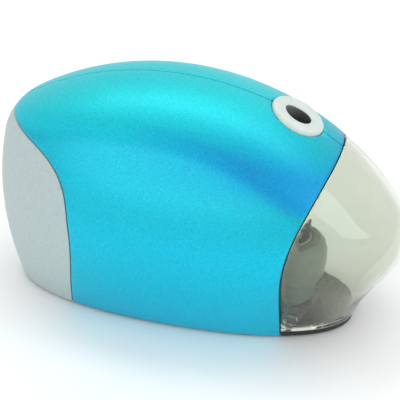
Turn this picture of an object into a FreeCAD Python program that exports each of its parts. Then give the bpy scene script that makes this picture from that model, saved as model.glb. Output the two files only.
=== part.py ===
"""Battery pencil sharpener, modelled in millimetres.

+Z is up, +X points to the clear shavings receptacle at the nose, and the origin is on the
surface it stands on, below the middle of its length and width.
"""
import FreeCAD
import Part
import Sketcher
import math
import os
import re
from FreeCAD import Placement, Rotation, Vector

DOC = FreeCAD.newDocument("pencil_sharpener")

# ---------------------------------------------------------------- driving sizes
SIZES = (
    ("body_length", 132.0), ("body_width", 69.6), ("body_height", 77.4),
    ("crown_radius", 90.0), ("crown_cross_radius", 38.0), ("crown_peak_x", -9.8), ("nose_trim", 0.5),
    ("shoulder_radius", 15.7), ("shell_wall", 1.8), ("receptacle_wall", 1.5),
    ("seam_gap", 0.2), ("part_gap", 0.3), ("inside_gap", 0.25),
    ("front_seam_x", 31.2), ("front_seam_straight", 25.0), ("front_seam_bend", 60.0),
    ("rear_seam_x", -34.0), ("foot_height", 0.8), ("foot_recess", 1.0), ("foot_radius", 4.0),
    ("base_thick", 2.5), ("boss_radius", 3.2), ("boss_top", 15.0), ("boss_screw_radius", 1.3),
    ("pencil_x", 28.5), ("pencil_bore_radius", 3.9), ("guide_radius", 5.3), ("guide_top", 61.0),
    ("collar_radius", 8.7), ("collar_rise", 0.8), ("collar_depth", 3.6),
    ("collar_gap", 0.2),
    ("bulkhead_thick", 1.6), ("bulkhead_set_back", 2.4), ("lip_reach", 0.8), ("lip_thick", 1.2), ("channel_radius", 7.0),
    ("cover_radius", 13.0), ("cover_wall", 1.2), ("cover_bottom", 14.5), ("cover_top", 27.0),
    ("bush_outer", 7.6), ("bush_thick", 1.4),
    ("carrier_radius", 10.8), ("carrier_bottom", 6.4), ("carrier_shoulder", 19.4),
    ("neck_radius", 6.4), ("journal_radius", 5.62), ("journal_top", 27.0), ("cone_tip_z", 10.3),
    ("cone_tip_radius", 0.6), ("pivot_radius", 1.5), ("pivot_top", 8.6), ("running_gap", 0.06),
    ("blade_thick", 0.6), ("blade_width", 7.0), ("blade_length", 9.0), ("blade_screw_radius", 1.1),
    ("gear_module", 0.5), ("mesh_play", 0.1), ("tooth_share", 0.44), ("carrier_teeth", 42), ("wheel_b_teeth", 32),
    ("pinion_b_teeth", 15), ("wheel_a_teeth", 36), ("pinion_a_teeth", 12), ("motor_teeth", 12),
    ("wheel_b_angle", 149.0), ("wheel_a_angle", -116.6), ("motor_angle", -120.0),
    ("low_gear_z", 20.6), ("low_gear_thick", 3.8), ("mid_gear_z", 27.8), ("mid_gear_thick", 2.6),
    ("top_gear_z", 31.0), ("top_gear_thick", 2.6), ("axle_radius", 1.0),
    ("frame_plate_z", 17.2), ("plate_thick", 1.6), ("top_plate_z", 35.2), ("pillar_radius", 2.2),
    ("motor_radius", 10.1), ("motor_flats", 15.1), ("motor_length", 20.0), ("motor_cap_length", 5.0),
    ("motor_boss_radius", 3.0), ("motor_boss_height", 1.5), ("motor_shaft_radius", 1.0),
    ("cell_radius", 7.25), ("cell_length", 49.2), ("cell_nub_length", 1.3), ("cell_nub_radius", 2.75),
    ("cell_pitch", 15.0), ("tray_wall", 1.3), ("tray_front_x", 0.9), ("tray_floor_z", 3.5),
    ("contact_thick", 0.3), ("contact_size", 12.0), ("spring_length", 3.4), ("leaf_thick", 0.35), ("leaf_span", 9.0), ("leaf_width", 3.6),
    ("switch_length", 8.0), ("switch_width", 6.0), ("switch_height", 6.5), ("plunger_radius", 1.2),
    ("paddle_height", 5.4), ("interlock_y", -14.2), ("interlock_z", 8.0), ("screw_head_radius", 2.2),
)

SHEET = DOC.addObject("Spreadsheet::Sheet", "Sizes")
for row, (alias, value) in enumerate(SIZES, start=1):
    SHEET.set("A%d" % row, alias)
    SHEET.set("B%d" % row, str(value))
    SHEET.setAlias("B%d" % row, alias)
DOC.recompute()
SIZE = {alias: float(SHEET.get(alias)) for alias, _ in SIZES}
WORD = re.compile(r"[a-z][a-z_]+[a-z]")


def tie(obj, **sizes):
    """Bind properties to formulas whose words are cells of the sheet; '__' stands for a dot."""
    for prop, formula in sizes.items():
        text = WORD.sub(lambda m: "Sizes." + m.group() if m.group() in SIZE else m.group(), str(formula))
        obj.setExpression(prop.replace("__", "."), text)
    return obj


def place(obj, x="0", y="0", z="0"):
    return tie(obj, Placement__Base__x=x, Placement__Base__y=y, Placement__Base__z=z)


# ---------------------------------------------------------------- builders
PARTS = []


def keep(obj, label):
    """Make an object one of the written sub-parts."""
    obj.Label = label
    PARTS.append(obj)
    return obj


def new_body(label, x="0", y="0", z="0"):
    return keep(place(DOC.addObject("PartDesign::Body", label), x, y, z), label)


def add(body, kind, x="0", y="0", z="0", turn=None, **sizes):
    """Add a PartDesign primitive such as AdditiveBox, centred on x and y where it is a box."""
    feature = body.newObject("PartDesign::" + kind, kind)
    if turn:
        feature.Placement = Placement(Vector(), turn)
    if kind.endswith("Box"):
        x = "%s - (%s) / 2" % (x, sizes["Length"])
        y = "%s - (%s) / 2" % (y, sizes["Width"])
    return place(tie(feature, **sizes), x, y, z)


def lathe(body, corners):
    """Spin a closed outline of (radius, height) formulas about the body's own Z."""
    sketch = body.newObject("Sketcher::SketchObject", "Outline")
    sketch.AttachmentSupport = [([o for o in body.Origin.OriginFeatures if o.Role == "XZ_Plane"][0], "")]
    sketch.MapMode = "FlatFace"
    count = len(corners)
    ring = [Vector(math.cos(2 * math.pi * i / count), math.sin(2 * math.pi * i / count), 0)
            for i in range(count)]
    for i in range(count):
        sketch.addGeometry(Part.LineSegment(ring[i], ring[(i + 1) % count]), False)
    for i in range(count):
        sketch.addConstraint(Sketcher.Constraint("Coincident", i, 2, (i + 1) % count, 1))
    for i, (radius, height) in enumerate(corners):
        for kind, formula in (("DistanceX", radius), ("DistanceY", height)):
            index = sketch.addConstraint(Sketcher.Constraint(kind, -1, 1, i, 1, 1.0))
            tie(sketch, **{"Constraints[%d]" % index: formula})
    spin = body.newObject("PartDesign::Revolution", "Spin")
    spin.Profile = sketch
    spin.ReferenceAxis = (sketch, ["V_Axis"])
    spin.Angle = 360
    return spin


def cylinder(radius, height, x="0", y="0", z="0", turn=None):
    obj = DOC.addObject("Part::Cylinder", "Cylinder")
    if turn:
        obj.Placement = Placement(Vector(), turn)
    return place(tie(obj, Radius=radius, Height=height), x, y, z)


def box(length, width, height, x="0", y="0", z="0"):
    """A box centred on x and y, standing on z."""
    obj = tie(DOC.addObject("Part::Box", "Box"), Length=length, Width=width, Height=height)
    return place(obj, "%s - (%s) / 2" % (x, length), "%s - (%s) / 2" % (y, width), z)


def fused(*shapes):
    obj = DOC.addObject("Part::MultiFuse", "Fused")
    obj.Shapes = list(shapes)
    return obj


def common(base, tool):
    obj = DOC.addObject("Part::Common", "Common")
    obj.Base, obj.Tool = base, tool
    return obj


def cut(base, tool):
    obj = DOC.addObject("Part::Cut", "Cut")
    obj.Base, obj.Tool = base, tool
    return obj


def group(label, members):
    obj = DOC.addObject("Part::Compound", label)
    obj.Links = list(members)
    return keep(obj, label)


def shaped(label, shape, written=True):
    """A sub-part whose free-form shape comes from Part's own functions."""
    obj = DOC.addObject("Part::Feature", label)
    obj.Shape = shape
    return keep(obj, label) if written else obj


# ---------------------------------------------------------------- the egg-shaped outer form
HALF_LENGTH = SIZE["body_length"] / 2
HALF_WIDTH = SIZE["body_width"] / 2
HEIGHT = SIZE["body_height"]
OVAL_POWER = 2.23
# height, rear reach, front reach and half width, each as a share of the overall size
SECTIONS = (
    (0.0, 0.918, 0.771, 0.655), (0.103, 0.948, 0.811, 0.782), (0.207, 0.972, 0.874, 0.885),
    (0.323, 0.991, 0.961, 0.963), (0.439, 1.0, 1.0, 1.0), (0.724, 0.971, 0.906, 0.879),
    (1.034, 0.911, 0.708, 0.741),
)
REACH = 200.0


def oval(rear, front, half_width, z):
    """A superellipse in plan, as one smooth closed wire."""
    count = 32
    centre, half = (front - rear) / 2, (front + rear) / 2
    points = []
    for i in range(count):
        c = math.cos(2 * math.pi * i / count)
        s = math.sin(2 * math.pi * i / count)
        points.append(Vector(centre + half * math.copysign(abs(c) ** (2 / OVAL_POWER), c),
                             half_width * math.copysign(abs(s) ** (2 / OVAL_POWER), s), z))
    curve = Part.BSplineCurve()
    curve.interpolate(points, PeriodicFlag=True)
    return Part.Wire([curve.toShape()])


FORMS = {}


def outer_form(inset=0.0):
    """The whole outer form, shrunk all round by an inset: a tower of ovals under a soft crown."""
    if inset not in FORMS:
        trim = SIZE["nose_trim"]
        tower = Part.makeLoft([oval(HALF_LENGTH * rear - inset - trim, HALF_LENGTH * front - inset + trim,
                                    HALF_WIDTH * wide - inset, HEIGHT * z)
                               for z, rear, front, wide in SECTIONS], True, False)
        along = SIZE["crown_radius"] - inset
        across = SIZE["crown_cross_radius"] - inset
        peak = SIZE["crown_peak_x"]
        low = HEIGHT - SIZE["crown_radius"]
        side = 0.95 * across
        edge = low + along - across + math.sqrt(across ** 2 - side ** 2)
        arc = Part.Arc(Vector(peak, -side, edge), Vector(peak, 0, low + along),
                       Vector(peak, side, edge)).toShape()
        legs = Part.makePolygon([Vector(peak, side, edge), Vector(peak, side, low),
                                 Vector(peak, -side, low), Vector(peak, -side, edge)])
        half_disc = Part.Face(Part.Wire([arc] + legs.Edges))
        form = tower.common(half_disc.revolve(Vector(peak, 0, low), Vector(0, 1, 0), 360))
        crown = [face for face in form.Faces if "Toroid" in face.Surface.TypeId]
        rim = [e for face in crown for e in face.Edges if e.BoundBox.DiagonalLength > 5]
        FORMS[inset] = form.makeFillet(SIZE["shoulder_radius"] - inset, rim)
    return FORMS[inset].copy()


def slab(low, high):
    """All the space between two heights."""
    return Part.makeBox(2 * REACH, 2 * REACH, high - low, Vector(-REACH, -REACH, low))


def side_prism(edges):
    """A closed side outline, in X and Z, as a solid right across the body."""
    return Part.Face(Part.Wire(edges)).extrude(Vector(0, 2 * REACH, 0))


def ahead_of_front_seam(shift=0.0):
    """The space in front of the front seam: upright, then leaning forward in one long bend."""
    bend, lean = SIZE["front_seam_bend"], math.radians(50)
    x = SIZE["front_seam_x"] + shift
    foot = Vector(x, -REACH, -5)
    start = Vector(x, -REACH, SIZE["front_seam_straight"])
    centre = start + Vector(bend, 0, 0)
    middle = centre + Vector(-bend * math.cos(lean / 2), 0, bend * math.sin(lean / 2))
    end = centre + Vector(-bend * math.cos(lean), 0, bend * math.sin(lean))
    top = end + Vector(math.sin(lean), 0, math.cos(lean)) * bend
    arc = Part.Arc(start, middle, end).toShape()
    rest = [end, top, Vector(REACH, -REACH, top.z), Vector(REACH, -REACH, -5), foot, start]
    return side_prism([arc] + Part.makePolygon(rest).Edges)


def behind_rear_seam(shift=0.0):
    """The space behind the rear seam: upright, then sweeping back under the top."""
    x, tail = SIZE["rear_seam_x"] - shift, -HALF_LENGTH - 20
    seam = Part.BSplineCurve()
    seam.interpolate([Vector(x + back, -REACH, HEIGHT * share - shift) for back, share in (
        (-3.1, 0.0), (-0.4, 0.27), (0.0, 0.39), (-0.7, 0.5), (-3.0, 0.63),
        (-7.6, 0.70), (-14.2, 0.745), (-24.0, 0.78))])
    foot, end = seam.value(seam.FirstParameter), seam.value(seam.LastParameter)
    rest = [end, Vector(tail, -REACH, end.z + 1), Vector(tail, -REACH, -5), foot + Vector(0, 0, -5), foot]
    return side_prism([seam.toShape()] + Part.makePolygon(rest).Edges)


FOOT = SIZE["foot_height"]
BASE_TOP = FOOT + SIZE["base_thick"]
WALL = SIZE["shell_wall"]
CLEAR_WALL = SIZE["receptacle_wall"]
PENCIL_X = SIZE["pencil_x"]


def upright(radius, x, y, low, high):
    return Part.makeCylinder(radius, high - low, Vector(x, y, low))


def ring_form(wall):
    """A hollow skin of the outer form, open below."""
    low = slab(FOOT, REACH)
    return outer_form().common(low).cut(outer_form(wall))


SHELL = ring_form(WALL)


# ---------------------------------------------------------------- pencil collar axis on the crown
CROWN_LOW = HEIGHT - SIZE["crown_radius"]
COLLAR_TILT = math.asin((PENCIL_X - SIZE["crown_peak_x"]) / SIZE["crown_radius"])
COLLAR_OUT = Vector(math.sin(COLLAR_TILT), 0, math.cos(COLLAR_TILT))
COLLAR_SEAT = Vector(PENCIL_X, 0, CROWN_LOW + SIZE["crown_radius"] * math.cos(COLLAR_TILT))
COLLAR_PLACE = Placement(COLLAR_SEAT, Rotation(Vector(0, 0, 1), COLLAR_OUT))

# ---------------------------------------------------------------- shells
BOSS_X = 11.0
BOSS_Y = 0.655 * HALF_WIDTH - WALL - SIZE["inside_gap"] - SIZE["screw_head_radius"] - 0.9
SIDES = (("right_shell", -1), ("left_shell", 1))


def side_shell(side):
    """Half of the coloured housing, with a screw boss on a rib from its wall."""
    half = Part.makeBox(2 * REACH, REACH, REACH, Vector(-REACH, SIZE["seam_gap"] / 2, 0))
    if side < 0:
        half.translate(Vector(0, -REACH - SIZE["seam_gap"], 0))
    shell = SHELL.common(half).cut(ahead_of_front_seam()).cut(behind_rear_seam())
    hole = Part.makeCylinder(SIZE["collar_radius"] + SIZE["collar_gap"], 20, Vector(0, 0, -10))
    hole.Placement = COLLAR_PLACE
    shell = shell.cut(hole)
    low, high = BASE_TOP + 0.1, SIZE["boss_top"]
    boss = upright(SIZE["boss_radius"], BOSS_X, side * BOSS_Y, low, high)
    rib_y = BOSS_Y if side > 0 else -BOSS_Y - HALF_WIDTH
    boss = boss.fuse(Part.makeBox(2, HALF_WIDTH, high - low, Vector(BOSS_X - 1, rib_y, low)))
    shell = shell.fuse(boss.common(outer_form(WALL / 2)))
    return shell.cut(upright(SIZE["boss_screw_radius"], BOSS_X, side * BOSS_Y, 0, high - 2))


for name, side in SIDES:
    shaped(name, side_shell(side))

RIBS_FRONT_X = SIZE["tray_front_x"] - SIZE["tray_wall"] - SIZE["contact_thick"] - SIZE["spring_length"]
REAR_PLATE_X = RIBS_FRONT_X - SIZE["cell_length"] - SIZE["cell_nub_length"]
CELL_LOW_Z = SIZE["tray_floor_z"] + SIZE["tray_wall"] + SIZE["cell_radius"] + 0.1
CELL_ROWS = (CELL_LOW_Z, CELL_LOW_Z + SIZE["cell_pitch"])


def rear_cover():
    """The battery cover, with one rib behind each row of cells for the rear contacts."""
    cover = SHELL.common(behind_rear_seam(SIZE["part_gap"]))
    inner = outer_form(WALL / 2)
    for z in CELL_ROWS:
        rib = Part.makeBox(20, 26, 1.4, Vector(REAR_PLATE_X - SIZE["contact_thick"] - 20.04, -13, z - 0.7))
        cover = cover.fuse(rib.common(inner))
    return cover


shaped("rear_cover", rear_cover())


def receptacle():
    """The clear shavings receptacle: a nose-shaped tub with its own floor, open to the rear."""
    bottom = BASE_TOP + 0.15
    ahead = ahead_of_front_seam(SIZE["part_gap"]).common(slab(bottom, REACH))
    hollow = ahead_of_front_seam().common(slab(bottom + CLEAR_WALL, REACH))
    skin = outer_form().common(ahead).cut(outer_form(CLEAR_WALL).common(hollow))
    tab = Part.makeBox(3, 4, 4, Vector(SIZE["front_seam_x"] + 1.2, SIZE["interlock_y"] - 2,
                                       SIZE["interlock_z"] - 3.5))
    return skin.fuse(tab.common(outer_form(CLEAR_WALL / 2)))


shaped("shavings_receptacle", receptacle())

FOOT_PLACES = [(x, side * y) for x, y in ((-38.0, 11.0), (30.0, 12.0)) for side in (-1, 1)]


def base_plate():
    """The black base: inside the shells at the back, full width below the receptacle."""
    plate = outer_form(WALL + SIZE["inside_gap"]).common(slab(FOOT, BASE_TOP))
    tongue = outer_form().common(slab(FOOT, BASE_TOP))
    plate = plate.fuse(tongue.common(ahead_of_front_seam(SIZE["part_gap"])))
    holes = [upright(SIZE["foot_radius"] + 0.05, x, y, 0, FOOT + SIZE["foot_recess"]) for x, y in FOOT_PLACES]
    for side in (-1, 1):
        holes.append(upright(SIZE["boss_screw_radius"], BOSS_X, side * BOSS_Y, 0, REACH))
        holes.append(upright(SIZE["screw_head_radius"] + 0.1, BOSS_X, side * BOSS_Y, 0, FOOT + 1.3))
    return plate.cut(holes)


shaped("base_plate", base_plate())


def bulkhead():
    """The dark wall behind the receptacle, its locating lip, and the channel for the guide tube."""
    back = SIZE["bulkhead_set_back"]
    band = ahead_of_front_seam(-back - SIZE["bulkhead_thick"]).cut(ahead_of_front_seam(-back))
    inside = outer_form(WALL + SIZE["inside_gap"])
    plate = inside.common(band.common(slab(BASE_TOP, REACH)))
    rim = max(WALL, CLEAR_WALL) + SIZE["inside_gap"]
    lip_band = ahead_of_front_seam(-back - 0.8).cut(ahead_of_front_seam(SIZE["lip_reach"]))
    lip = outer_form(rim).common(lip_band.common(slab(BASE_TOP + CLEAR_WALL + 0.6, REACH)))
    lip = lip.cut(outer_form(rim + SIZE["lip_thick"]))
    floor = SIZE["cover_top"]
    channel = upright(SIZE["channel_radius"], PENCIL_X, 0, floor, SIZE["guide_top"])
    channel = channel.common(ahead_of_front_seam(-back - SIZE["bulkhead_thick"])).common(inside)
    wall = plate.fuse(lip).fuse(channel)
    wall = wall.cut(upright(SIZE["guide_radius"] + 0.1, PENCIL_X, 0, floor - 1, REACH))
    mouth = 2 * (SIZE["cover_radius"] - SIZE["cover_wall"])
    opening = Part.makeBox(20, mouth, floor - BASE_TOP + 1, Vector(PENCIL_X - 6, -mouth / 2, BASE_TOP - 1))
    socket = Part.makeCylinder(SIZE["plunger_radius"] + 0.06, 20,
                               Vector(PENCIL_X - 5, SIZE["interlock_y"], SIZE["interlock_z"]), Vector(1, 0, 0))
    return wall.cut(opening).cut(socket)


shaped("bulkhead", bulkhead())

# ---------------------------------------------------------------- pencil collar and guide tube


def pencil_collar():
    """The pale ring round the pencil hole: a plug in the shells with a soft rim standing proud."""
    rise, edge, depth = SIZE["collar_rise"], SIZE["collar_radius"], SIZE["collar_depth"]
    mouth = SIZE["pencil_bore_radius"]
    outer = Part.Arc(Vector(0, edge, -0.2), Vector(0, edge - 0.5, 0.7 * rise), Vector(0, edge - 2.2, rise))
    inner = Part.Arc(Vector(0, edge - 2.2, rise), Vector(0, mouth + 0.8, 0.6 * rise), Vector(0, mouth - 1, -1.4))
    rest = Part.makePolygon([Vector(0, mouth - 1, -1.4), Vector(0, 0, -1.4), Vector(0, 0, -depth),
                             Vector(0, edge, -depth), Vector(0, edge, -0.2)])
    outline = Part.Wire([outer.toShape(), inner.toShape()] + rest.Edges)
    ring = Part.Face(outline).revolve(Vector(), Vector(0, 0, 1), 360)
    ring.Placement = COLLAR_PLACE
    return ring.cut(upright(mouth, PENCIL_X, 0, 0, REACH))


shaped("pencil_collar", pencil_collar())

guide = new_body("pencil_guide", "pencil_x")
lathe(guide, (("pencil_bore_radius", "journal_top + 0.3"), ("guide_radius", "journal_top + 0.3"),
              ("guide_radius", "guide_top"), ("pencil_bore_radius + 0.6", "guide_top"),
              ("pencil_bore_radius", "guide_top - 1")))
SHELF_Z = "guide_top - 21"
add(guide, "AdditiveBox", "-guide_radius - 4.2", "0", SHELF_Z, Length="10", Width="12", Height="1.6")
add(guide, "SubtractiveCylinder", "0", "0", SHELF_Z + " - 1", Radius="pencil_bore_radius", Height="4")
PLUNGER_Z = SHELF_Z + " + 1.6 + switch_height / 2"
FACE_BACK = Rotation(Vector(0, 1, 0), -90)
FACE_FRONT = Rotation(Vector(0, 1, 0), 90)
add(guide, "SubtractiveCylinder", "0", "0", PLUNGER_Z, FACE_BACK, Radius="plunger_radius + running_gap",
    Height="guide_radius + 1")

# ---------------------------------------------------------------- start switch behind the guide tube
SWITCH_X = "pencil_x - guide_radius - 0.6 - switch_length / 2"
switch = new_body("start_switch", SWITCH_X, "0", SHELF_Z + " + 1.6")
add(switch, "AdditiveBox", Length="switch_length", Width="switch_width", Height="switch_height")
add(switch, "SubtractiveCylinder", "-3.2", "0", "switch_height / 2", FACE_FRONT,
    Radius="plunger_radius + running_gap", Height="switch_length")
for shift in ("-2.2", "2.2"):
    add(switch, "AdditiveBox", shift, "0", "switch_height - 0.1", Length="0.5", Width="2", Height="3")
plunger = new_body("start_plunger", "pencil_x - pencil_bore_radius", "0", PLUNGER_Z)
add(plunger, "AdditiveCylinder", "-1", turn=FACE_BACK, Radius="plunger_radius", Height="5")
add(plunger, "AdditiveSphere", "-1", Radius="plunger_radius")

# ---------------------------------------------------------------- cutter cover, bush, carrier
FRONT_FACE = "front_seam_x - bulkhead_set_back"
cover = new_body("cutter_cover", "pencil_x")
lathe(cover, (("cover_radius - 0.5", "cover_bottom"), ("cover_radius", "cover_top - 7.5"),
              ("cover_radius - 0.2", "cover_top - 4.4"), ("cover_radius - 0.9", "cover_top - 2"),
              ("cover_radius - 2.6", "cover_top - 0.3"), ("cover_radius - 4", "cover_top"),
              ("bush_outer", "cover_top"), ("bush_outer", "cover_top - bush_thick"),
              ("cover_radius - cover_wall - 0.9", "cover_top - bush_thick"),
              ("cover_radius - cover_wall", "cover_top - 2.6"), ("cover_radius - cover_wall", "cover_top - 7.5"),
              ("cover_radius - cover_wall - 0.5", "cover_bottom")))
add(cover, "SubtractiveBox", FRONT_FACE + " - pencil_x - 20", "0", "cover_bottom - 1",
    Length="40", Width="40", Height="cover_top - cover_bottom + 2")
add(cover, "AdditiveBox", FRONT_FACE + " - pencil_x - bush_outer / 2", "0", "cover_top - bush_thick",
    Length="bush_outer", Width="2 * bush_outer + 3", Height="bush_thick")
add(cover, "SubtractiveCylinder", "0", "0", "cover_top - 5", Radius="bush_outer", Height="10")

bush = new_body("carrier_bush", "pencil_x")
lathe(bush, (("journal_radius + running_gap", "cover_top - bush_thick"), ("bush_outer", "cover_top - bush_thick"),
             ("bush_outer", "cover_top"), ("journal_radius + running_gap", "cover_top")))

CARRIER_Z = "carrier_bottom"
MOUTH = "pencil_bore_radius"
CONE_TOP = "journal_top - 2"
carrier = new_body("blade_carrier", "pencil_x")
lathe(carrier, (("pivot_radius + running_gap", "carrier_bottom"), ("carrier_radius - 1.4", "carrier_bottom"),
                ("carrier_radius - 0.4", "carrier_bottom + 1"), ("carrier_radius", "carrier_bottom + 4"),
                ("carrier_radius", "carrier_shoulder"), ("neck_radius", "carrier_shoulder"),
                ("neck_radius", "low_gear_z + low_gear_thick"),
                ("journal_radius", "low_gear_z + low_gear_thick"), ("journal_radius", "journal_top"),
                (MOUTH, "journal_top"), (MOUTH, CONE_TOP), ("cone_tip_radius", "cone_tip_z"),
                ("0", "cone_tip_z"), ("0", "pivot_top + 0.3"),
                ("pivot_radius + running_gap", "pivot_top + 0.3")))
CONE_SLOPE = math.degrees(math.atan2(SIZE["pencil_bore_radius"] + 0.15 - SIZE["cone_tip_radius"],
                                     SIZE["journal_top"] - 2 - SIZE["cone_tip_z"]))
SEAT_TURN = Rotation(Vector(0, 1, 0), CONE_SLOPE)
BLADE_OUT = SEAT_TURN.multVec(Vector(1, 0, 0))
BLADE_UP = SEAT_TURN.multVec(Vector(0, 0, 1))
seat = carrier.newObject("PartDesign::SubtractiveBox", "BladeSeat")
seat_corner = Vector(SIZE["cone_tip_radius"] - 0.25, -1.4, SIZE["cone_tip_z"]) - BLADE_UP * 1.5
seat.Placement = Placement(seat_corner, SEAT_TURN)
tie(seat, Length="carrier_radius + 4", Width="carrier_radius + 4", Height="blade_length + 0.8")
BLADE_CENTRE = seat_corner + BLADE_UP * (SIZE["blade_length"] / 2 + 0.4) + Vector(0, 1.2 + SIZE["blade_width"] / 2, 0)
TO_BLADE = Rotation(Vector(0, 0, 1), BLADE_OUT)
CARRIER_AT = Vector(PENCIL_X, 0, 0)


def blade_shape():
    """A thin steel blade flat on its seat, its cutting edge along the cone."""
    wide, long, thick = SIZE["blade_width"], SIZE["blade_length"], SIZE["blade_thick"]
    outline = Part.makePolygon([Vector(0, -wide / 2, 0), Vector(0, wide / 2, 0), Vector(0, wide / 2, thick),
                                Vector(0, -wide / 2 + 1.1, thick), Vector(0, -wide / 2, 0)])
    blade = Part.Face(outline).extrude(Vector(long, 0, 0))
    blade.translate(Vector(-long / 2, 0, 0))
    return blade.cut(Part.makeCylinder(SIZE["blade_screw_radius"] + 0.05, 4, Vector(0, 0.6, -1)))


def on_seat(shape):
    shape.Placement = Placement(BLADE_CENTRE + BLADE_OUT * 0.02 + CARRIER_AT, TO_BLADE)
    return shape


shaped("blade", on_seat(blade_shape()))
screw = Part.makeCylinder(SIZE["blade_screw_radius"], 4.0, Vector(0, 0.6, -3.4))
screw = screw.fuse(Part.makeCylinder(2.0, 1.1, Vector(0, 0.6, SIZE["blade_thick"])))
screw = screw.cut(Part.makeBox(4, 0.5, 0.6, Vector(-2, 0.35, SIZE["blade_thick"] + 0.6)))
shaped("blade_screw", on_seat(screw))
pilot = carrier.newObject("PartDesign::SubtractiveCylinder", "BladePilot")
pilot.Placement = Placement(BLADE_CENTRE + TO_BLADE.multVec(Vector(0, 0.6, -3.6)), TO_BLADE)
tie(pilot, Radius="blade_screw_radius", Height="5")

pivot = new_body("carrier_pivot", "pencil_x", "0", str(BASE_TOP))
add(pivot, "AdditiveCylinder", Radius="pivot_radius + 1.2", Height="1.6")
add(pivot, "AdditiveCylinder", Radius="pivot_radius", Height="pivot_top - %g" % BASE_TOP)

# ---------------------------------------------------------------- gears
MODULE = SIZE["gear_module"]


def gear_blank(teeth, low, thick, phase):
    """An involute spur gear about Z at the origin, with a tooth centred at the phase angle."""
    pitch = MODULE * teeth / 2
    base = pitch * math.cos(math.radians(20))
    root, tip = pitch - 1.2 * MODULE, pitch + 0.9 * MODULE
    half = SIZE["tooth_share"] * math.pi * MODULE / 2 / pitch

    def involute(radius):
        roll = math.acos(min(1.0, base / radius))
        return math.tan(roll) - roll

    flank = [(radius, half + involute(pitch) - involute(max(radius, base)))
             for radius in (root, (max(root, base) + pitch) / 2, pitch, tip)]
    points = []
    for tooth in range(int(teeth)):
        middle = math.radians(phase) + 2 * math.pi * tooth / teeth
        for sign, side in ((-1, flank), (1, flank[::-1])):
            for radius, angle in side:
                turn = middle + sign * angle
                points.append(Vector(radius * math.cos(turn), radius * math.sin(turn), low))
    return Part.Face(Part.makePolygon(points + points[:1])).extrude(Vector(0, 0, thick))


def spacing(one, other):
    return MODULE * (SIZE[one] + SIZE[other]) / 2 + SIZE["mesh_play"]


def step(start, length, angle):
    return start + Vector(math.cos(math.radians(angle)), math.sin(math.radians(angle)), 0) * length


def mating_phase(phase, teeth, angle, other_teeth):
    """The phase that puts a gap of the next gear where this gear has a tooth, along an angle."""
    part = (phase - angle) * teeth / 360.0
    return angle + 180 + (0.5 - part) * 360.0 / other_teeth


AXIS_C = Vector(PENCIL_X, 0, 0)
AXIS_B = step(AXIS_C, spacing("carrier_teeth", "pinion_b_teeth"), SIZE["wheel_b_angle"])
AXIS_A = step(AXIS_B, spacing("wheel_b_teeth", "pinion_a_teeth"), SIZE["wheel_a_angle"])
AXIS_M = step(AXIS_A, spacing("wheel_a_teeth", "motor_teeth"), SIZE["motor_angle"])
PHASE_B = mating_phase(0.0, SIZE["carrier_teeth"], SIZE["wheel_b_angle"], SIZE["pinion_b_teeth"])
PHASE_A = mating_phase(PHASE_B, SIZE["wheel_b_teeth"], SIZE["wheel_a_angle"], SIZE["pinion_a_teeth"])
PHASE_M = mating_phase(PHASE_A, SIZE["wheel_a_teeth"], SIZE["motor_angle"], SIZE["motor_teeth"])
LOW_Z, LOW_THICK = SIZE["low_gear_z"], SIZE["low_gear_thick"]
MID_Z, MID_THICK = SIZE["mid_gear_z"], SIZE["mid_gear_thick"]
TOP_Z, TOP_THICK = SIZE["top_gear_z"], SIZE["top_gear_thick"]
AXLE_HOLE = SIZE["axle_radius"] + SIZE["running_gap"]
HUB_LOW = SIZE["frame_plate_z"] + SIZE["plate_thick"] + 0.4
HUB_RADIUS = SIZE["axle_radius"] + 1.2


def placed_gear(label, shape, at):
    shape.translate(at)
    return shaped(label, shape)


carrier_gear = gear_blank(SIZE["carrier_teeth"], LOW_Z, LOW_THICK, 0.0)
carrier_gear = carrier_gear.cut(upright(SIZE["neck_radius"], 0, 0, 0, REACH))
placed_gear("carrier_gear", carrier_gear, AXIS_C)

wheel_b = gear_blank(SIZE["pinion_b_teeth"], LOW_Z, MID_Z - LOW_Z, PHASE_B)
wheel_b = wheel_b.fuse(gear_blank(SIZE["wheel_b_teeth"], MID_Z, MID_THICK, PHASE_B))
wheel_b = wheel_b.fuse(upright(HUB_RADIUS, 0, 0, HUB_LOW, LOW_Z)).cut(upright(AXLE_HOLE, 0, 0, 0, REACH))
placed_gear("second_gear", wheel_b, AXIS_B)

wheel_a = gear_blank(SIZE["pinion_a_teeth"], MID_Z - 0.2, TOP_Z - MID_Z + 0.2, PHASE_A)
wheel_a = wheel_a.fuse(gear_blank(SIZE["wheel_a_teeth"], TOP_Z, TOP_THICK, PHASE_A))
wheel_a = wheel_a.fuse(upright(HUB_RADIUS, 0, 0, HUB_LOW, MID_Z - 0.2)).cut(upright(AXLE_HOLE, 0, 0, 0, REACH))
placed_gear("first_gear", wheel_a, AXIS_A)

motor_pinion = gear_blank(SIZE["motor_teeth"], TOP_Z - 0.4, TOP_THICK + 0.8, PHASE_M)
motor_pinion = motor_pinion.cut(upright(SIZE["motor_shaft_radius"], 0, 0, 0, REACH))
placed_gear("motor_pinion", motor_pinion, AXIS_M)

group("gear_axles", [cylinder("axle_radius", "top_plate_z + plate_thick - frame_plate_z", str(a.x), str(a.y),
                              "frame_plate_z") for a in (AXIS_A, AXIS_B)])

# ---------------------------------------------------------------- gear frame, top plate and motor
FRAME_X, FRAME_Y = 11.4, -1.6
SCREWED_PILLARS = ((4.5, 10.5), (17.7, -14.2), (17.5, 19.0))
PILLARS = SCREWED_PILLARS + ((3.9, -19.4),)


def bored(body, places, radius, low, height):
    for x, y in places:
        add(body, "SubtractiveCylinder", str(x), str(y), low, Radius=radius, Height=height)


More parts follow.
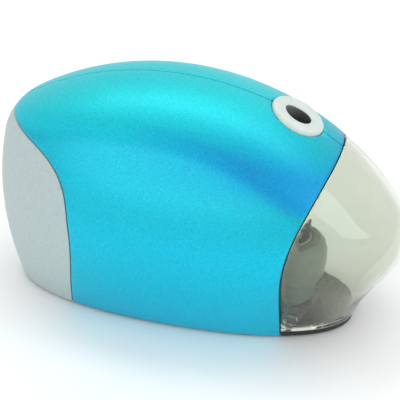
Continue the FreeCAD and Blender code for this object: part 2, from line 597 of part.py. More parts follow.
AXLES = [(AXIS_A.x, AXIS_A.y), (AXIS_B.x, AXIS_B.y)]
gear_frame = new_body("gear_frame")
add(gear_frame, "AdditiveBox", str(FRAME_X), str(FRAME_Y), "frame_plate_z",
    Length="19", Width="45", Height="plate_thick")
for x, y in PILLARS:
    add(gear_frame, "AdditiveCylinder", str(x), str(y), str(BASE_TOP), Radius="pillar_radius",
        Height="top_plate_z - %g" % BASE_TOP)
add(gear_frame, "SubtractiveCylinder", "pencil_x", "0", "frame_plate_z - 1", Radius="cover_radius + 0.4",
    Height="plate_thick + 2")
bored(gear_frame, AXLES, "axle_radius", "frame_plate_z - 1", "plate_thick + 2")
bored(gear_frame, SCREWED_PILLARS, "0.8", "top_plate_z - 6", "8")

gear_plate = new_body("gear_plate", "0", "0", "top_plate_z")
add(gear_plate, "AdditiveBox", str(FRAME_X), str(FRAME_Y), Length="19", Width="45", Height="plate_thick")
bored(gear_plate, AXLES, "axle_radius", "-1", "plate_thick + 2")
bored(gear_plate, SCREWED_PILLARS, "0.8", "-1", "plate_thick + 2")
bored(gear_plate, [(AXIS_M.x, AXIS_M.y)], "motor_boss_radius", "-1", "plate_thick + 2")

MOTOR_Z = "top_plate_z + plate_thick"
AT_MOTOR = (str(AXIS_M.x), str(AXIS_M.y))


def motor_section(length, z):
    """A round can with two flats."""
    return common(cylinder("motor_radius", length, *AT_MOTOR, z),
                  box("motor_flats", "2 * motor_radius + 1", length, *AT_MOTOR, z))


can = fused(motor_section("motor_length", MOTOR_Z),
            cylinder("motor_boss_radius", "motor_boss_height + 0.1", *AT_MOTOR, MOTOR_Z + " - motor_boss_height"))
keep(cut(can, cylinder("motor_shaft_radius + running_gap", "motor_length + 4", *AT_MOTOR, MOTOR_Z + " - 2")),
     "motor_can")
CAP_Z = MOTOR_Z + " + motor_length"
cap = fused(motor_section("motor_cap_length", CAP_Z),
            cylinder("motor_boss_radius", "motor_cap_length + 1", *AT_MOTOR, CAP_Z))
keep(cut(cap, cylinder("motor_shaft_radius + running_gap", "motor_cap_length + 0.6", *AT_MOTOR, CAP_Z + " - 0.1")),
     "motor_end_cap")
group("motor_terminals", [box("0.4", "2.4", "3.5", str(AXIS_M.x + side * 5.0), str(AXIS_M.y),
                              CAP_Z + " + motor_cap_length") for side in (-1, 1)])
keep(cylinder("motor_shaft_radius", "motor_length + plate_thick + top_plate_z - top_gear_z + 2", *AT_MOTOR,
              "top_gear_z - 0.4"), "motor_shaft")

# ---------------------------------------------------------------- battery tray and cells
INNER = shaped("tray_limit", outer_form(WALL + 0.5), written=False)
TRAY_LENGTH = SIZE["tray_front_x"] - REAR_PLATE_X
TRAY_X = "tray_front_x - %g" % (TRAY_LENGTH / 2)
TRAY_INSIDE = "2 * cell_pitch"
tray_walls = cut(box(str(TRAY_LENGTH), TRAY_INSIDE + " + 2 * tray_wall", TRAY_INSIDE + " + 2 * tray_wall",
                     TRAY_X, "0", "tray_floor_z"),
                 box(str(TRAY_LENGTH), TRAY_INSIDE, TRAY_INSIDE, TRAY_X + " - tray_wall", "0",
                     "tray_floor_z + tray_wall"))
keep(common(tray_walls, INNER), "battery_tray")

AHEAD = Rotation(Vector(0, 1, 0), 90)
CELL_SEATS = [(side, row, (side > 0) == (row == 0)) for side in (-1, 1) for row in (0, 1)]


def cell(side, row, nub_ahead):
    """One AA cell lying along X; its nub faces the nose or the tail."""
    y, z = "%d * cell_pitch / 2" % side, str(CELL_ROWS[row])
    start = REAR_PLATE_X + (SIZE["spring_length"] if nub_ahead else SIZE["cell_nub_length"])
    nub_x = start + SIZE["cell_length"] if nub_ahead else REAR_PLATE_X
    return fused(cylinder("cell_radius", "cell_length", str(start), y, z, AHEAD),
                 cylinder("cell_nub_radius", "cell_nub_length", str(nub_x), y, z, AHEAD))


group("batteries", [cell(*seat) for seat in CELL_SEATS])


def leaf(x, side, row, ahead):
    """A bowed strip of spring steel standing on a contact plate."""
    high, thick = SIZE["spring_length"] - 0.1, SIZE["leaf_thick"]
    reach, wide = SIZE["leaf_span"] / 2, SIZE["leaf_width"]
    ends = [Vector(0, 0, end) for end in (-reach, reach, reach - thick, thick - reach)]
    outer = Part.Arc(ends[0], Vector(high, 0, 0), ends[1]).toShape()
    inner = Part.Arc(ends[2], Vector(high - thick, 0, 0), ends[3]).toShape()
    edges = [outer, Part.makeLine(ends[1], ends[2]), inner, Part.makeLine(ends[3], ends[0])]
    strip = Part.Face(Part.Wire(edges)).extrude(Vector(0, wide, 0))
    strip.translate(Vector(0, -wide / 2, 0))
    strip.rotate(Vector(), Vector(0, 0, 1), 0 if ahead else 180)
    strip.translate(Vector(x, side * SIZE["cell_pitch"] / 2, CELL_ROWS[row]))
    return shaped("Leaf", strip, written=False)


FRONT_PLATE_X = SIZE["tray_front_x"] - SIZE["tray_wall"] - SIZE["contact_thick"]
OFF_PLATE = 0.02
group("front_springs", [leaf(FRONT_PLATE_X - OFF_PLATE, side, row, False)
                        for side, row, nub_ahead in CELL_SEATS if not nub_ahead])
group("rear_springs", [leaf(REAR_PLATE_X + OFF_PLATE, side, row, True)
                       for side, row, nub_ahead in CELL_SEATS if nub_ahead])


def contact(x, side, row, size="contact_size"):
    return box("contact_thick", size, size, str(x), "%d * cell_pitch / 2" % side,
               "%g - (%s) / 2" % (CELL_ROWS[row], size))


half_plate = SIZE["contact_thick"] / 2
group("front_contacts", [contact(FRONT_PLATE_X + half_plate, side, row) for side, row, _ in CELL_SEATS])
group("rear_contacts", [contact(REAR_PLATE_X - half_plate - 0.02, side, row, "contact_size - 3")
                        for side, row, _ in CELL_SEATS])

# ---------------------------------------------------------------- safety switch behind the bulkhead
BULKHEAD_BACK = "front_seam_x - bulkhead_set_back - bulkhead_thick"
interlock = new_body("interlock_switch", BULKHEAD_BACK + " - 0.1 - switch_width / 2", "interlock_y",
                     "interlock_z - switch_width / 2")
add(interlock, "AdditiveBox", Length="switch_width", Width="switch_width", Height="switch_width")
add(interlock, "SubtractiveCylinder", "-1.5", "0", "switch_width / 2", FACE_FRONT,
    Radius="plunger_radius + running_gap", Height="switch_width")
paddle = new_body("interlock_plunger", "front_seam_x", "interlock_y", "interlock_z")
add(paddle, "AdditiveBox", "0.5", "0", "-paddle_height / 2", Length="1.2", Width="4", Height="paddle_height")
add(paddle, "AdditiveCylinder", turn=FACE_BACK, Radius="plunger_radius", Height="bulkhead_set_back + 4.2")

# ---------------------------------------------------------------- feet and fasteners
group("feet", [cylinder("foot_radius", "foot_height + foot_recess", str(x), str(y)) for x, y in FOOT_PLACES])


def pan_screw(x, y, low, length):
    """A small pan screw that points up."""
    return fused(cylinder("boss_screw_radius", str(length), str(x), str(y), low + " + 1.2"),
                 cylinder("screw_head_radius", "1.2", str(x), str(y), low))


group("base_screws", [pan_screw(BOSS_X, side * BOSS_Y, "foot_height + 0.1", 9) for side in (-1, 1)])
group("plate_screws", [fused(cylinder("0.8", "6.4", str(x), str(y), "top_plate_z + plate_thick - 6.3"),
                             cylinder("1.7", "1.1", str(x), str(y), "top_plate_z + plate_thick"))
                       for x, y in SCREWED_PILLARS])

# ---------------------------------------------------------------- check and write
DOC.recompute()
faults = [obj.Label for obj in DOC.Objects if "Invalid" in obj.State or "Error" in obj.State]
faults += [obj.Label for obj in PARTS if obj.Shape.isNull() or not obj.Shape.isValid()]
if faults:
    raise SystemExit("these did not build: " + ", ".join(faults))
os.makedirs("parts", exist_ok=True)
for obj in PARTS:
    obj.Shape.exportStep("parts/%s.step" % obj.Label)
    print("%-20s solids %2d  volume %9.1f" % (obj.Label, len(obj.Shape.Solids), obj.Shape.Volume))
print("written:", len(PARTS))
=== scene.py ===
# %% [markdown]
# # A battery pencil sharpener
#
# The real object is an egg-shaped desk sharpener: two coloured half shells, a grey battery
# cover at the tail, a pale collar round the pencil hole, and a smoky clear shavings
# receptacle at the nose. The CAD model gives every part its true size and place, so it is
# loaded first and never moved. The looks are then added around it.

# %% Load the fixed frame
import math

import bpy
from mathutils import Matrix, Vector


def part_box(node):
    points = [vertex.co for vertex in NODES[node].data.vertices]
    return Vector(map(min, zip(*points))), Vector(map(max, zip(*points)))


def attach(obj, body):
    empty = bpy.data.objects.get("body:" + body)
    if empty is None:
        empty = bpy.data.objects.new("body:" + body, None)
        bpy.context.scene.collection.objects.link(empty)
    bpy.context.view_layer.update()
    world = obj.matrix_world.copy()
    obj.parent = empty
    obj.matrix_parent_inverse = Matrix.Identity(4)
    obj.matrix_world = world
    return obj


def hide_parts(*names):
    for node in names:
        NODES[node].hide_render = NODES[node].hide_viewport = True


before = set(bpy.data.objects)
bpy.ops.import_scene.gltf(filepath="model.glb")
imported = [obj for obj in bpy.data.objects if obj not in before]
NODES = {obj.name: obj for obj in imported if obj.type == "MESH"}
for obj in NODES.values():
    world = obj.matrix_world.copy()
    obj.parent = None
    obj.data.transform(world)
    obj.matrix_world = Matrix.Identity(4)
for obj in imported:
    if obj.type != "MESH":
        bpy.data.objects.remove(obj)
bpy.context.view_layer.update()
MM = 0.001

# %% [markdown]
# ## The room
#
# A product like this is usually shown on a white sheet under big soft lamps. The sheet could
# sweep up behind into a backdrop, but here the light all around is as pale as the sheet, so
# one wide flat plane already runs into it with hardly any horizon.

# %% Floor
def deselect():
    """Operators act on all that is selected, and loading leaves the CAD nodes selected."""
    bpy.ops.object.select_all(action="DESELECT")


def only(piece):
    """Makes one piece the selected and active one."""
    deselect()
    piece.select_set(True)
    bpy.context.view_layer.objects.active = piece


FLOOR_SIZE = 6.0
deselect()
bpy.ops.mesh.primitive_plane_add(size=FLOOR_SIZE, location=(0, 0, 0))
floor = bpy.context.object
floor.name = "floor"
print("floor:", FLOOR_SIZE, "m square")

# %% [markdown]
# ## Camera
#
# The viewer stands to the front left of the nose and looks down at about thirty degrees.
# The camera could be aimed with a constraint, but its turn is written here as a matrix of
# three axes, so the small roll of the horizon can be given as one angle.

# %% Camera at the viewing angle
AZIMUTH, ELEVATION, ROLL = (math.radians(a) for a in (12.710, 29.791, 2.384))
TARGET = Vector((-2.6, 0.0, 35.0)) * MM
DISTANCE = 387.25 * MM
LENS_MM, SENSOR_MM = 109.14, 36.0
SHIFT_X, SHIFT_Y = 0.0148, -0.0071
NEAREST, FARTHEST = 0.01, 20

back = Vector((math.sin(AZIMUTH) * math.cos(ELEVATION),
               -math.cos(AZIMUTH) * math.cos(ELEVATION), math.sin(ELEVATION)))
level = Vector((math.cos(AZIMUTH), math.sin(AZIMUTH), 0))
upward = back.cross(level)
right = math.cos(ROLL) * level + math.sin(ROLL) * upward
upward = -math.sin(ROLL) * level + math.cos(ROLL) * upward
lens = bpy.data.cameras.new("camera")
lens.lens, lens.sensor_width = LENS_MM, SENSOR_MM
lens.shift_x, lens.shift_y = SHIFT_X, SHIFT_Y
lens.clip_start, lens.clip_end = NEAREST, FARTHEST
camera = bpy.data.objects.new("camera", lens)
camera.matrix_world = Matrix.Translation(TARGET + back * DISTANCE) @ Matrix(
    (right, upward, back)).transposed().to_4x4()
bpy.context.collection.objects.link(camera)
bpy.context.scene.camera = camera
bpy.context.scene.view_settings.view_transform = "Standard"
print("camera at", [round(v, 3) for v in camera.location])

# %% [markdown]
# ## Light
#
# Large soft boxes give the long, soft highlights that a glossy moulding shows. One hangs
# overhead, a weak one stands to the right of the nose, and the strongest lights the near
# side from low down. Small lamps would give hard spots, so every lamp is wide and the world
# itself is pale.

# %% Soft boxes and a pale world
# name, place in metres, width and height in metres, power in watts
LAMPS = (("overhead", (0.02, 0.18, 0.80), (1.2, 0.20), 1.7),
         ("nose_side", (0.80, -0.20, 0.45), (0.45, 0.6), 1.0),
         ("near_side", (-0.30, -0.95, 0.25), (1.2, 0.3), 2.3))
SKY_STRENGTH = 0.93


def soft_box(name, place, size, power):
    """A rectangular lamp that faces the object."""
    lamp = bpy.data.lights.new(name, "AREA")
    lamp.shape, lamp.size, lamp.size_y, lamp.energy = "RECTANGLE", *size, power
    holder = bpy.data.objects.new(name, lamp)
    holder.location = place
    aim = TARGET - Vector(place)
    holder.rotation_euler = aim.to_track_quat("-Z", "Y").to_euler()
    bpy.context.collection.objects.link(holder)


for lamp_row in LAMPS:
    soft_box(*lamp_row)
world = bpy.data.worlds.new("pale_room")
world.use_nodes = True
sky = world.node_tree.nodes["Background"]
sky.inputs["Color"].default_value = (1, 1, 1, 1)
sky.inputs["Strength"].default_value = SKY_STRENGTH
bpy.context.scene.world = world
print("lamps:", [row[0] for row in LAMPS])

# %% [markdown]
# ## Finishes
#
# Each finish starts from the real material. Colours are given as sRGB hex values and turned
# linear by one function, and patterns take their scale from a size in millimetres. Object
# coordinates are in metres, so a feature of s mm has a noise scale of about 1000 / s.

# %% Helpers for colours, nodes and pattern scales
def linear(hex_colour):
    """An sRGB hex colour as linear light, with full alpha."""
    parts = [int(hex_colour[i:i + 2], 16) / 255 for i in (1, 3, 5)]
    return tuple(p / 12.92 if p <= 0.04045 else ((p + 0.055) / 1.055) ** 2.4 for p in parts) + (1.0,)


def add_node(tree, kind, inputs=None, **settings):
    """Adds one node with its settings; an input is a number, a colour or another node's socket."""
    made = tree.nodes.new(kind)
    for name, value in settings.items():
        setattr(made, name, value)
    for name, value in (inputs or {}).items():
        if isinstance(value, bpy.types.NodeSocket):
            tree.links.new(value, made.inputs[name])
        else:
            made.inputs[name].default_value = value
    return made


def finish(name, **shader_values):
    """A new material with its shader's constants set, and the sockets that patterns need."""
    made = bpy.data.materials.new(name)
    made.use_nodes = True
    tree = made.node_tree
    shader = tree.nodes["Principled BSDF"]
    for socket, value in shader_values.items():
        shader.inputs[socket.replace("_", " ")].default_value = value
    place = add_node(tree, "ShaderNodeTexCoord").outputs["Object"]
    return made, tree, shader, place


# the colour sockets of a Mix node, which has one set of sockets for each kind of value
COLOUR_A, COLOUR_B, MIXED = 6, 7, 2
ABS_IOR, POLYSTYRENE_IOR = 1.53, 1.5


def two_tone(tree, shader, place, first, second, size_mm, sharpness=0.15):
    """Base colour that drifts between two tones in patches of a given size."""
    patches = add_node(tree, "ShaderNodeTexNoise", {"Vector": place, "Scale": 1 / (size_mm * MM),
                                                    "Detail": 2.0})
    spread = add_node(tree, "ShaderNodeMapRange", {"Value": patches.outputs["Fac"],
                                                   "From Min": 0.5 - sharpness, "From Max": 0.5 + sharpness})
    colour = add_node(tree, "ShaderNodeMix", {0: spread.outputs["Result"], COLOUR_A: linear(first),
                                              COLOUR_B: linear(second)}, data_type="RGBA")
    tree.links.new(colour.outputs[MIXED], shader.inputs["Base Color"])


def grain(tree, shader, place, size_mm, depth_mm, detail=2.0):
    """Bump from a noise of a given size and depth, for a spark-eroded or cast skin."""
    noise = add_node(tree, "ShaderNodeTexNoise", {"Vector": place, "Scale": 1 / (size_mm * MM),
                                                  "Detail": detail})
    bump = add_node(tree, "ShaderNodeBump", {"Height": noise.outputs["Fac"], "Distance": depth_mm * MM,
                                             "Strength": 1.0})
    tree.links.new(bump.outputs["Normal"], shader.inputs["Normal"])


print("white is", linear("#ffffff"))

# %% [markdown]
# ### Pearl ABS for the half shells
#
# The shells are injection moulded ABS with pearl flakes in the colour. The flakes give the
# eye a fine mottle and a soft metallic glow. Real flakes are about 0.05 mm, which no view
# here could show, so they are drawn at 0.5 mm. The colour also changes with how far a face
# looks up. It is lighter and greener on top, which is painted light from above, and darker
# blue on the shoulder's flank towards the nose, which is painted shade. A pearl's own shift
# of tint could be drawn with thin film, but a ramp on the face's own direction stays the
# same from every side.

# %% Pearl ABS
FLAKE_MM = 0.5
# how far a face looks up, from level to straight up, and the colour there: painted light on top, painted
# shade on the flank
PEARL_LIGHT_SHADE_AT_TAIL = ((0.0, "#06b8d4"), (0.22, "#06aec5"), (0.42, "#06aac2"), (0.62, "#06bccf"),
                 (0.78, "#08bdcc"), (0.95, "#10c5cd"))
PEARL_LIGHT_SHADE_AT_NOSE = ((0.0, "#06bbd8"), (0.22, "#06aec5"), (0.35, "#06aac0"), (0.45, "#069bc9"),
                 (0.55, "#0690c9"), (0.70, "#0690c6"), (0.82, "#08aec4"), (0.95, "#1accd4"))
TAIL_MM, NOSE_MM = -22, 18
DULL_FLAKE, BRIGHT_FLAKE = 0.86, 1.14


def lit_and_shaded_ramp(tree, share, stops):
    """Colours in linear light along a share from 0 to 1."""
    ramp = add_node(tree, "ShaderNodeValToRGB", {"Fac": share})
    ramp.color_ramp.elements.remove(ramp.color_ramp.elements[1])
    ramp.color_ramp.elements[0].color = linear(stops[0][1])
    for stop, hex_colour in stops[1:]:
        ramp.color_ramp.elements.new(stop).color = linear(hex_colour)
    return ramp.outputs["Color"]


def pearl_abs_painted_light(name, at_tail, at_nose):
    made, tree, shader, place = finish(name, Metallic=0.55, Roughness=0.42, IOR=ABS_IOR,
                                       Specular_IOR_Level=0.3, Coat_Weight=0.06, Coat_Roughness=0.16)
    # painted light and shade: the colour follows how far the face looks up, lighter on top and darker blue on
    # the flank towards the nose
    facing = add_node(tree, "ShaderNodeNewGeometry").outputs["Normal"]
    upward_share = add_node(tree, "ShaderNodeSeparateXYZ", {"Vector": facing}).outputs["Z"]
    along = add_node(tree, "ShaderNodeSeparateXYZ", {"Vector": place}).outputs["X"]
    nose_share = add_node(tree, "ShaderNodeMapRange", {"Value": along, "From Min": TAIL_MM * MM,
                                                       "From Max": NOSE_MM * MM})
    lit_and_shaded_colour = add_node(tree, "ShaderNodeMix", {0: nose_share.outputs["Result"],
                                           COLOUR_A: lit_and_shaded_ramp(tree, upward_share, at_tail),
                                           COLOUR_B: lit_and_shaded_ramp(tree, upward_share, at_nose)}, data_type="RGBA")
    flakes = add_node(tree, "ShaderNodeTexNoise", {"Vector": place, "Scale": 1 / (FLAKE_MM * MM),
                                                   "Detail": 2.0})
    glint = add_node(tree, "ShaderNodeMapRange", {"Value": flakes.outputs["Fac"], "From Min": 0.3,
                                                  "From Max": 0.7, "To Min": DULL_FLAKE,
                                                  "To Max": BRIGHT_FLAKE})
    colour = add_node(tree, "ShaderNodeVectorMath", {0: lit_and_shaded_colour.outputs[MIXED]}, operation="SCALE")
    tree.links.new(glint.outputs["Result"], colour.inputs["Scale"])
    tree.links.new(colour.outputs["Vector"], shader.inputs["Base Color"])
    grain(tree, shader, place, FLAKE_MM * 0.8, 0.008)
    return made


blue_pearl_painted_light = pearl_abs_painted_light("pearl_abs_cyan_painted_light", PEARL_LIGHT_SHADE_AT_TAIL, PEARL_LIGHT_SHADE_AT_NOSE)
print("made", blue_pearl_painted_light.name)

# %% [markdown]
# ### Plain moulded plastics
#
# The battery cover and collar are plain ABS with a fine spark-eroded skin, which gives a
# soft sheen with no sharp reflection. The inner parts are ABS, acetal, nylon, PBT and
# rubber. They differ in colour, gloss and the depth of the skin, so one function with those
# values makes them.

# %% Plain moulded plastics
def moulded(name, low, high, roughness, skin_mm=0.4, skin_depth_mm=0.01, patch_mm=3.0, **more):
    made, tree, shader, place = finish(name, Roughness=roughness, IOR=ABS_IOR, **more)
    two_tone(tree, shader, place, low, high, patch_mm)
    grain(tree, shader, place, skin_mm, skin_depth_mm)
    return made


grey_abs = moulded("textured_abs_grey", "#a3b3b3", "#a9b9b8", 0.5, 0.45, 0.016, 1.2)
pale_abs = moulded("satin_abs_pale_grey", "#c6d0cb", "#ccd6d1", 0.34, 0.5, 0.005)
dark_abs = moulded("satin_abs_dark_grey", "#2c3b3c", "#344546", 0.42)
mid_abs = moulded("satin_abs_mid_grey", "#8a988f", "#94a198", 0.3, 0.5, 0.006)
black_abs = moulded("textured_abs_black", "#0d0f10", "#141617", 0.5)
# the bore's mid-dark grey: partly the dark guide tube lining it, partly painted shade in the hole
throat_abs_and_shade = moulded("satin_abs_throat_painted_shade", "#59615d", "#646c67", 0.4)
black_pbt = moulded("moulded_pbt_black", "#101112", "#191a1b", 0.4, 0.3, 0.006)
acetal = moulded("moulded_acetal_natural", "#dcdcd0", "#e6e6dc", 0.32, 0.5, 0.004,
                 Subsurface_Weight=0.15, Subsurface_Scale=0.001)
teal_abs = moulded("satin_abs_teal", "#1d7f92", "#2695a8", 0.4, 0.5, 0.006)
nylon_white = moulded("moulded_nylon_white", "#cfcfc6", "#dadad2", 0.45, 0.5, 0.006)
rubber = moulded("moulded_rubber_dark", "#1c1d1d", "#262727", 0.8, 0.35, 0.03)
print("plastics made:", len(bpy.data.materials))

# %% [markdown]
# ### Painted light on the black sill, and the skin of the cells
# #
# The black sill under the clear receptacle is painted lighter in speckles on its upward
# faces, which is painted light. It fades out under the shells and towards the near rim. A
# battery cell is a nickel-plated can in a shrunk PVC sleeve, so the sides are dark plastic
# and both ends stay bright metal. Two pieces each could be modelled, but a mask from place or
# direction gives the same look on one mesh.

# %% Painted light on the sill, and cell skin
# where the sill's painted light fades out: towards the near rim along y, and under the shells along x
UNLIT_Y_MM, LIT_Y_MM = -21, -14
SHELL_X_MM, SILL_X_MM = 30, 33
LIGHT_GAIN, SPECK_MM = 1.7, 0.9
END_FACING = 0.6


def smooth_share(tree, along, low_mm, high_mm):
    """A share that rises smoothly from 0 to 1 between two places."""
    return add_node(tree, "ShaderNodeMapRange", {"Value": along, "From Min": low_mm * MM,
                                                 "From Max": high_mm * MM},
                    interpolation_type="SMOOTHSTEP").outputs["Result"]


# The sill's lighter, speckled colour is painted light. It is faded out under the shells and at the near rim.
def sill_painted_light_abs(name, unlit_colour, lit_colour):
    made, tree, shader, place = finish(name, Roughness=0.62, IOR=ABS_IOR)
    axes = add_node(tree, "ShaderNodeSeparateXYZ", {"Vector": place}).outputs
    share = add_node(tree, "ShaderNodeMath", {0: smooth_share(tree, axes["Y"], UNLIT_Y_MM, LIT_Y_MM),
                                              1: smooth_share(tree, axes["X"], SHELL_X_MM, SILL_X_MM)},
                     operation="MULTIPLY")
    specks = add_node(tree, "ShaderNodeTexNoise", {"Vector": place, "Scale": 1 / (SPECK_MM * MM),
                                                   "Detail": 3.0})
    amount = add_node(tree, "ShaderNodeMath", {0: share.outputs["Value"], 1: specks.outputs["Fac"]},
                      operation="MULTIPLY")
    cover = add_node(tree, "ShaderNodeMath", {0: amount.outputs["Value"], 1: LIGHT_GAIN},
                     operation="MULTIPLY", use_clamp=True)
    colour = add_node(tree, "ShaderNodeMix", {0: cover.outputs["Value"], COLOUR_A: linear(unlit_colour),
                                              COLOUR_B: linear(lit_colour)}, data_type="RGBA")
    tree.links.new(colour.outputs[MIXED], shader.inputs["Base Color"])
    grain(tree, shader, place, 0.8, 0.03)
    return made


def cell_skin(name, sleeve, can):
    made, tree, shader, place = finish(name, Roughness=0.3)
    facing = add_node(tree, "ShaderNodeNewGeometry").outputs["Normal"]
    endwards = add_node(tree, "ShaderNodeSeparateXYZ", {"Vector": facing}).outputs["X"]
    either_end = add_node(tree, "ShaderNodeMath", {0: endwards}, operation="ABSOLUTE")
    bare = add_node(tree, "ShaderNodeMath", {0: either_end.outputs["Value"], 1: END_FACING},
                    operation="GREATER_THAN")
    colour = add_node(tree, "ShaderNodeMix", {0: bare.outputs["Value"], COLOUR_A: linear(sleeve),
                                              COLOUR_B: linear(can)}, data_type="RGBA")
    tree.links.new(colour.outputs[MIXED], shader.inputs["Base Color"])
    tree.links.new(bare.outputs["Value"], shader.inputs["Metallic"])
    grain(tree, shader, place, 1.2, 0.01)
    return made


# painted light: the sill's black, and the lighter colour its upward faces take where painted lit
sill_painted_light = sill_painted_light_abs("coarse_abs_painted_light", "#0d0f10", "#bfc2b3")
cell_sleeve = cell_skin("pvc_sleeve_on_nickel_can", "#20303f", "#c6c6c0")
print("made", sill_painted_light.name, "and", cell_sleeve.name)

# %% [markdown]
# ### Smoky clear polystyrene
#
# The receptacle is clear polystyrene with a little smoke colour, moulded glossy. It gives
# the eye mirror-like highlights over a see-through grey. The tint sits in the shader's own
# colour, and a very shallow ripple shows how the wall flowed in the mould.

# %% Smoky clear polystyrene
def smoky_clear(name, tint):
    made, tree, shader, place = finish(name, Roughness=0.03, IOR=POLYSTYRENE_IOR, Transmission_Weight=1.0,
                                       Base_Color=linear(tint))
    grain(tree, shader, place, 9.0, 0.02, 0.0)
    return made


smoke_clear = smoky_clear("clear_polystyrene_smoke", "#e8ece1")
print("made", smoke_clear.name)

# %% [markdown]
# ### Metals
#
# Metal parts are drawn from what was done to them: turned brass, zinc plated steel, nickel
# plated spring strip, ground blade steel. Fine lines or patches in the colour and the bump
# tell them apart.
# A metal keeps the shader's default index of refraction.

# %% Metals
def metal(name, low, high, roughness, patch_mm=0.8, skin_depth_mm=0.004, stretch=(1, 1, 1)):
    made, tree, shader, place = finish(name, Metallic=1.0, Roughness=roughness)
    along = add_node(tree, "ShaderNodeMapping", {"Vector": place, "Scale": stretch}).outputs["Vector"]
    two_tone(tree, shader, along, low, high, patch_mm, 0.3)
    grain(tree, shader, along, patch_mm * 0.6, skin_depth_mm)
    return made


zinc = metal("zinc_plated_steel", "#9da3a6", "#c3c8cb", 0.32, 1.2)
nickel = metal("nickel_plated_spring_steel", "#b4b2aa", "#d2d0c8", 0.22, 0.6)
ground = metal("ground_tool_steel", "#9a9d9f", "#c9cccd", 0.24, 0.4, 0.004, (0.12, 1, 1))
brass = metal("turned_brass", "#b08d45", "#cfae62", 0.28, 0.5, 0.003, (1, 1, 0.2))
print("materials made:", len(bpy.data.materials))

# %% [markdown]
# ## Dressing the CAD parts
#
# Parts whose shape is already right keep their CAD mesh and only change finish. The floor
# gets the matt white of a paper sheet, whose slow drift of tone keeps it from looking blank.

# %% Give the inner CAD parts their finish
DRESS = {
    dark_abs: ("pencil_guide",),
    mid_abs: ("blade_carrier",),
    black_abs: ("gear_frame", "gear_plate", "battery_tray"),
    black_pbt: ("start_switch", "interlock_switch"),
    acetal: ("start_plunger", "carrier_bush", "carrier_gear", "second_gear", "first_gear"),
    teal_abs: ("interlock_plunger",),
    nylon_white: ("motor_end_cap",),
    rubber: ("feet",),
    zinc: ("motor_can", "base_screws", "plate_screws", "blade_screw"),
    nickel: ("front_springs", "rear_springs", "front_contacts", "rear_contacts", "gear_axles",
             "motor_shaft", "carrier_pivot"),
    cell_sleeve: ("batteries",),
    ground: ("blade",),
    brass: ("motor_pinion", "motor_terminals"),
}


def dress(piece, *finishes):
    """Gives a piece its finishes; faces use the first unless they are told otherwise."""
    piece.data.materials.clear()
    for one in finishes:
        piece.data.materials.append(one)


for finish_material, names in DRESS.items():
    for node_name in names:
        dress(NODES[node_name], finish_material)
floor_finish = moulded("matt_paper_white", "#f4f5f5", "#f7f8f8", 0.9, 2.0, 0.01, 40.0)
dress(floor, floor_finish)
print("CAD parts dressed:", sum(len(names) for names in DRESS.values()), "of", len(NODES))

# %% [markdown]
# ## Mouldings with softened edges
#
# A real moulding never has a knife edge: where two parts meet, both edges are rounded by a
# few tenths of a millimetre, and that draws the fine light and dark lines along the seams.
# The outer parts could be modelled again, but their surfaces are already right, so each one
# is a copy of its CAD mesh. Its loose triangles are joined, flat regions become single
# faces, and a bevel rounds every edge that turns sharply.

# %% Copy, clean and round the outer mouldings
MERGE_MM = 0.03
FLAT_DEG, SHARP_DEG, SMOOTH_DEG = 0.3, 38, 32


def softened(node_name, piece_name, edge_mm, steps=2):
    """A copy of a CAD part as one joined mesh, with its sharp edges rounded."""
    mesh = NODES[node_name].data.copy()
    piece = bpy.data.objects.new(piece_name, mesh)
    bpy.context.collection.objects.link(piece)
    only(piece)
    bpy.ops.object.mode_set(mode="EDIT")
    bpy.ops.mesh.select_all(action="SELECT")
    bpy.ops.mesh.remove_doubles(threshold=MERGE_MM * MM)
    bpy.ops.mesh.customdata_custom_splitnormals_clear()
    bpy.ops.mesh.dissolve_limited(angle_limit=math.radians(FLAT_DEG))
    bpy.ops.object.mode_set(mode="OBJECT")
    rounding = piece.modifiers.new("rounding", "BEVEL")
    rounding.width, rounding.segments = edge_mm * MM, steps
    rounding.limit_method, rounding.angle_limit = "ANGLE", math.radians(SHARP_DEG)
    rounding.use_clamp_overlap = False
    bpy.ops.object.modifier_apply(modifier=rounding.name)
    bpy.ops.object.shade_smooth_by_angle(angle=math.radians(SMOOTH_DEG))
    return piece


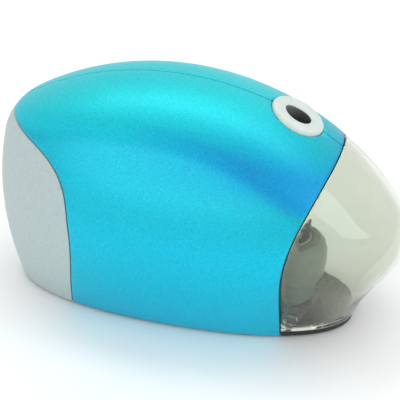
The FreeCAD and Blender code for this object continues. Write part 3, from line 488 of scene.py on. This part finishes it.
# CAD node, piece, body, slot, finishes, and the width of the rounded edges in mm
MOULDINGS = (
    ("right_shell", "right_half_shell", "housing", "blue_pearl_abs", (blue_pearl_painted_light,), 0.3),
    ("left_shell", "left_half_shell", "housing", "blue_pearl_abs", (blue_pearl_painted_light,), 0.3),
    ("rear_cover", "battery_cover", "rear_cover", "grey_abs", (grey_abs,), 0.3),
    ("shavings_receptacle", "clear_receptacle", "receptacle", "smoke_clear_polystyrene",
     (smoke_clear,), 0.3),
    # the collar's second finish is partly painted shade in its bore
    ("pencil_collar", "hole_collar", "housing", "pale_grey_abs", (pale_abs, throat_abs_and_shade), 0.2),
    # the base's second finish is painted light on its upward faces
    ("base_plate", "base_moulding", "housing", "black_abs", (black_abs, sill_painted_light), 0.25),
    ("bulkhead", "inner_wall", "housing", "dark_grey_abs", (dark_abs,), 0.2),
    ("cutter_cover", "cutter_hood", "housing", "mid_grey_abs", (mid_abs,), 0.25),
)
MADE = {}
for node_name, piece_name, body, slot, finishes, edge_mm in MOULDINGS:
    piece = softened(node_name, piece_name, edge_mm)
    dress(piece, *finishes)
    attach(piece, body)
    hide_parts(node_name)
    MADE[piece_name] = piece
    print(piece_name, len(piece.data.polygons), "faces")

# %% [markdown]
# ### Painted shade in the throat of the pencil hole
# #
# Inside the pale collar the hole looks dark, as the guide tube below it does. A lining tube
# of its own would narrow the hole, so the faces of the collar's bore take a mid-dark grey.
# This is partly the dark tube that probably lines it, and partly painted shade for the deep hole.

# %% Painted shade on the faces of the bore
PENCIL_X = sum(corner.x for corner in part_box("carrier_bush")) / 2
BORE_RADIUS, SLACK = 3.9 * MM, 1.02
collar = MADE["hole_collar"]
shaded_bore_faces = 0
for face in collar.data.polygons:
    out = Vector((face.center.x - PENCIL_X, face.center.y))
    if out.length < BORE_RADIUS * SLACK:
        face.material_index = 1
        shaded_bore_faces += 1
print("bore faces:", shaded_bore_faces)

# %% [markdown]
# ### Painted light on the sill under the receptacle
# #
# Only the upward faces take the painted light, so the rim of the base stays black. The
# painted light fades out under the shells and towards the near edge.

# %% Painted light on the upward faces of the sill
# upward faces take the painted light
UP = 0.9
lit_sill_faces = 0
for face in MADE["base_moulding"].data.polygons:
    if face.normal.z > UP:
        face.material_index = 1
        lit_sill_faces += 1
print("sill faces:", lit_sill_faces)
